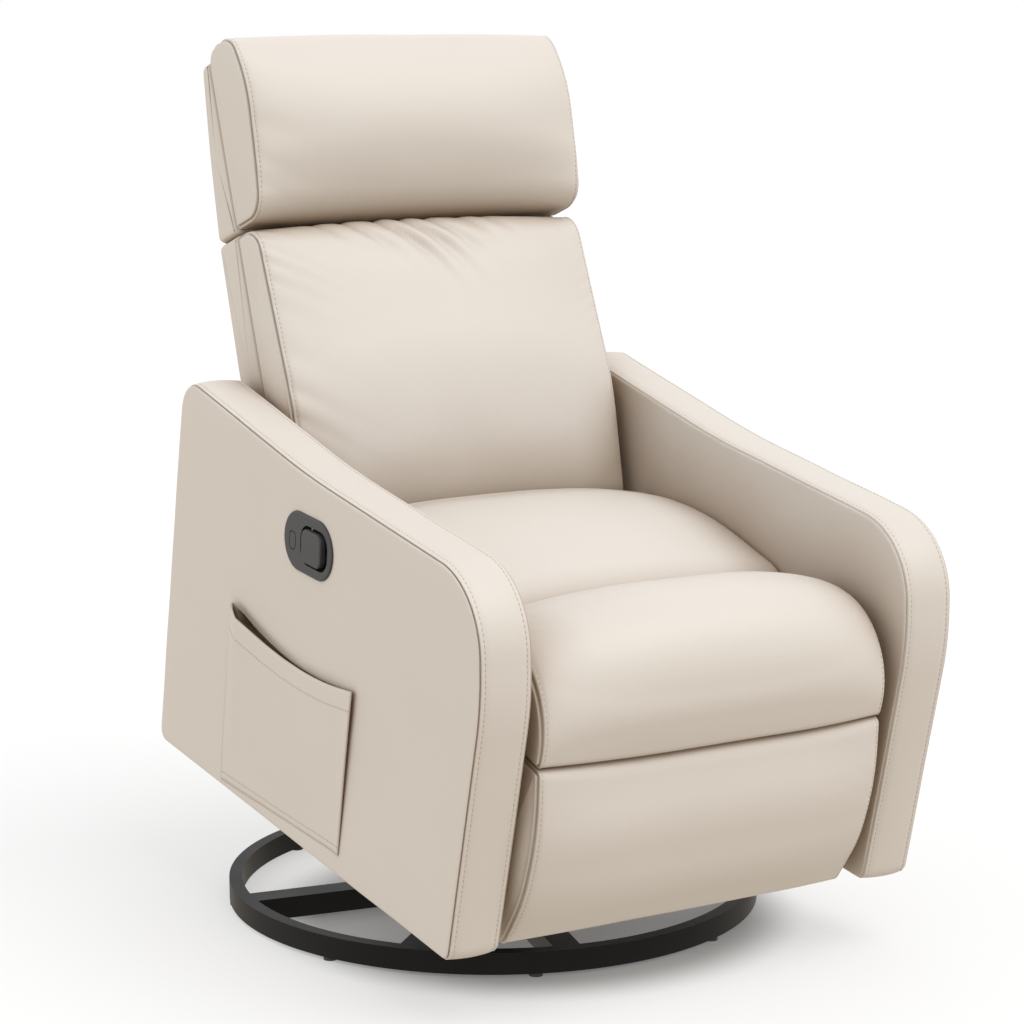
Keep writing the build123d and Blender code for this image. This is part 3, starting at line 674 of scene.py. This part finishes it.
# Openings in the right arm's cover: the latch's hole, and the pocket's mouth that goes on behind the panel
CUT_OUTSIDE = 12.0  # how far a cut starts outside the arm
LATCH_HOLE = rounded(((21, -27), (21, 27), (-51, 27), (-51, -27)), (21, 21, 21, 21))
LATCH_DEEP = 22.0
MOUTH_BELOW = (1.5, 26.0)  # upper and lower edge of the slot, under the pocket's hem
MOUTH_ENDS = (0.03, 0.93)
MOUTH_DEEP = 18.0


def latch_frame(lx, ly, deep):
    """A point of the latch, rearwards, up and into the arm."""
    c, s = math.cos(LATCH_TILT), math.sin(LATCH_TILT)
    return (-OUTER + deep, LATCH_AT[0] + lx * c - ly * s, LATCH_AT[1] + lx * s + ly * c)


cut(arm_right, [latch_frame(*p, -CUT_OUTSIDE) for p in LATCH_HOLE],
    [latch_frame(*p, LATCH_DEEP) for p in LATCH_HOLE])
upper, lower = MOUTH_BELOW
mouth = [pocket_mouth(u) - np.array([0, upper]) for u in np.linspace(*MOUTH_ENDS, 40)]
mouth += [pocket_mouth(u) - np.array([0, lower]) for u in np.linspace(*MOUTH_ENDS[::-1], 40)]
cut(arm_right, [(-OUTER - CUT_OUTSIDE, *p) for p in mouth], [(-OUTER + MOUTH_DEEP, *p) for p in mouth])
arm_right.data.set_sharp_from_angle(angle=math.radians(55))

# Side pocket
POCKET_OFF = 2.6  # distance of the panel from the arm's face
POCKET_GAPE = 11.0
POCKET_THICK = 1.6
POCKET_COLUMNS, POCKET_ROWS = 60, 42
POCKET_SEWN = (5, POCKET_ROWS - 2)  # rows that carry the stitches of the hem and of the lower edge
STITCHES_OFF = 0.9


def pocket_lift(u, v, y, z):
    """How far the panel stands off the arm, at the shares u along and v down.

    It gapes at the rear of its mouth, springs off at its front end and lies close along its lower edge.
    """
    open_at = min(1.0, u / 0.1) ** 0.7 * (0.22 + 0.78 * math.exp(-max(0.0, u - 0.1) / 0.22))
    gape = POCKET_GAPE * open_at * max(0.0, 1 - (v / 0.85) ** 1.4) ** 1.2
    front = 1.6 * max(0.0, (u - 0.9) / 0.1) ** 2 - 1.5 * v ** 6
    belly = 1.2 * math.sin(math.pi * u) * math.sin(math.pi * v)
    crease = 0.5 * noise.noise(Vector((y / 36, z / 80, 0.3))) * math.sin(math.pi * u)
    return POCKET_OFF + gape + front + belly + crease


def pocket():
    low_front, low_rear = (np.array(p) for p in POCKET[2:])
    columns, rows = POCKET_COLUMNS, POCKET_ROWS
    grid = np.zeros((rows + 1, columns + 1, 3))
    for r in range(rows + 1):
        for c in range(columns + 1):
            u, v = c / columns, r / rows
            y, z = pocket_mouth(u) * (1 - v) + (low_rear * (1 - u) + low_front * u) * v
            grid[r, c] = (-OUTER - pocket_lift(u, v, y, z), y, z)
    faces = []
    for r in range(rows):
        for c in range(columns):
            a = r * (columns + 1) + c
            faces.append((a, a + 1, a + columns + 2, a + columns + 1))
    obj = new_mesh("pocket_panel", grid.reshape(-1, 3), faces, "chassis", CREAM)
    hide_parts("side_pocket")
    solid = obj.modifiers.new("thickness", "SOLIDIFY")
    solid.thickness = POCKET_THICK * MM
    solid.offset = 0
    out = np.tile([-1.0, 0, 0], (columns + 1, 1))
    sewn_rows = [(grid[row] + STITCHES_OFF * out, out) for row in POCKET_SEWN]
    stitches("pocket_stitch", sewn_rows, "chassis", radius=0.4)


pocket()

# Materials of the solids by the start of their names, and small roundings on some edges
FINISHES = (
    (BLACK, ("base_", "swivel_", "beam_", "rail_", "mechanism_")),
    (STEEL, ("front_link", "rear_link", "carrier", "foot_bracket", "back_bracket", "back_upright",
             "back_cross", "arm_bolts", "latch_pin")),
    (PLASTIC, ("latch_bezel", "release_paddle", "bearing_race")),
    (RUBBER, ("glide_pads",)),
    (TIMBER, ("seat_rail", "seat_posts", "seat_deck", "foot_board", "foot_shelf", "arm_board")),
)
EDGE_ROUND = 1.2
for name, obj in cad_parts.items():
    obj.data.materials.clear()
    obj.data.materials.append(next((mat for mat, starts in FINISHES if name.startswith(starts)), CREAM))
    if name.startswith(("base_", "latch_bezel", "release_paddle")):
        bevel = obj.modifiers.new("edge", "BEVEL")
        bevel.width = EDGE_ROUND * MM
        bevel.segments = 3
        bevel.limit_method = "ANGLE"
        bevel.angle_limit = math.radians(40)

# Floor, which glows to stay near white, with a painted shadow inside the ring where the glow is lower under
# the chair (radii in metres)
PAINTED_SHADOW_RADII = (0.25, 0.34)
GLOW_IN_PAINTED_SHADOW_AND_OUT = (0.14, 0.50)
bpy.ops.mesh.primitive_plane_add(size=40, location=(0, 0, 0))
floor = bpy.context.object
floor.name = "floor"
floor_mat, floor_tree, floor_shader = material("floor_white")
floor_shader.inputs["Base Color"].default_value = (0.36, 0.36, 0.36, 1)
floor_shader.inputs["Roughness"].default_value = 0.8
floor_shader.inputs["Specular IOR Level"].default_value = 0.0
floor_shader.inputs["Emission Color"].default_value = (1, 1, 1, 1)
# Painted shadow: the floor's glow falls off towards the chair's middle by distance alone
reach = mapped(floor_tree, "ShaderNodeVectorMath", operation="LENGTH")
glow_with_painted_shadow = remapped(floor_tree, reach.outputs["Value"], PAINTED_SHADOW_RADII, GLOW_IN_PAINTED_SHADOW_AND_OUT, "SMOOTHSTEP")
floor_tree.links.new(glow_with_painted_shadow, floor_shader.inputs["Emission Strength"])
floor.data.materials.append(floor_mat)
floor.visible_diffuse = False
floor.visible_glossy = False

# A wide soft light from above with a weak warm return from below, before a white ground
world = bpy.data.worlds.new("studio")
scene.world = world
world.use_nodes = True
sky = world.node_tree
direction = add(sky, "ShaderNodeTexCoord")
axes = add(sky, "ShaderNodeSeparateXYZ")
sky.links.new(direction.outputs["Generated"], axes.inputs["Vector"])
height = remapped(sky, axes.outputs["Z"], (-0.4, 0.4), (0, 1), "SMOOTHSTEP")
lit = sky.nodes["Background"]
lit.inputs["Strength"].default_value = 1.10
sky.links.new(colour_between(sky, height, (0.70, 0.63, 0.535), (1, 1, 1)), lit.inputs["Color"])
seen = add(sky, "ShaderNodeBackground", Color=(1, 1, 1, 1), Strength=1.0)
ray = add(sky, "ShaderNodeLightPath")
choice = add(sky, "ShaderNodeMixShader")
sky.links.new(ray.outputs["Is Camera Ray"], choice.inputs["Fac"])
sky.links.new(lit.outputs["Background"], choice.inputs[1])
sky.links.new(seen.outputs["Background"], choice.inputs[2])
sky.links.new(choice.outputs["Shader"], sky.nodes["World Output"].inputs["Surface"])


def sun(name, energy, angle, along):
    """A broad sun, with its light going along a direction."""
    data = bpy.data.lights.new(name, "SUN")
    data.energy = energy
    data.angle = math.radians(angle)
    light = bpy.data.objects.new(name, data)
    scene.collection.objects.link(light)
    light.rotation_euler = Vector(along).to_track_quat("-Z", "Y").to_euler()


sun("key", 1.5, 50, (-0.28, 0.50, -0.82))
sun("fill", 0.55, 60, (0.88, -0.42, -0.12))

# Camera, fitted to the photograph: its angles, distance, target and focal length in pixels
AZIMUTH, ELEVATION, DISTANCE = math.radians(-31.6), math.radians(9.9), 3.461
TARGET = Vector((-0.006, 0.033, 0.486))
FOCAL, FRAME_SIDE, SENSOR = 2901, 1024, 36.0
camera_data = bpy.data.cameras.new("camera")
camera_data.sensor_width = SENSOR
camera_data.lens = FOCAL / FRAME_SIDE * SENSOR
camera = bpy.data.objects.new("camera", camera_data)
scene.collection.objects.link(camera)
camera.location = TARGET + DISTANCE * Vector((
    math.sin(AZIMUTH) * math.cos(ELEVATION), -math.cos(AZIMUTH) * math.cos(ELEVATION), math.sin(ELEVATION)))
camera.rotation_euler = (TARGET - camera.location).to_track_quat("-Z", "Y").to_euler()
scene.camera = camera
scene.view_settings.view_transform = "Standard"
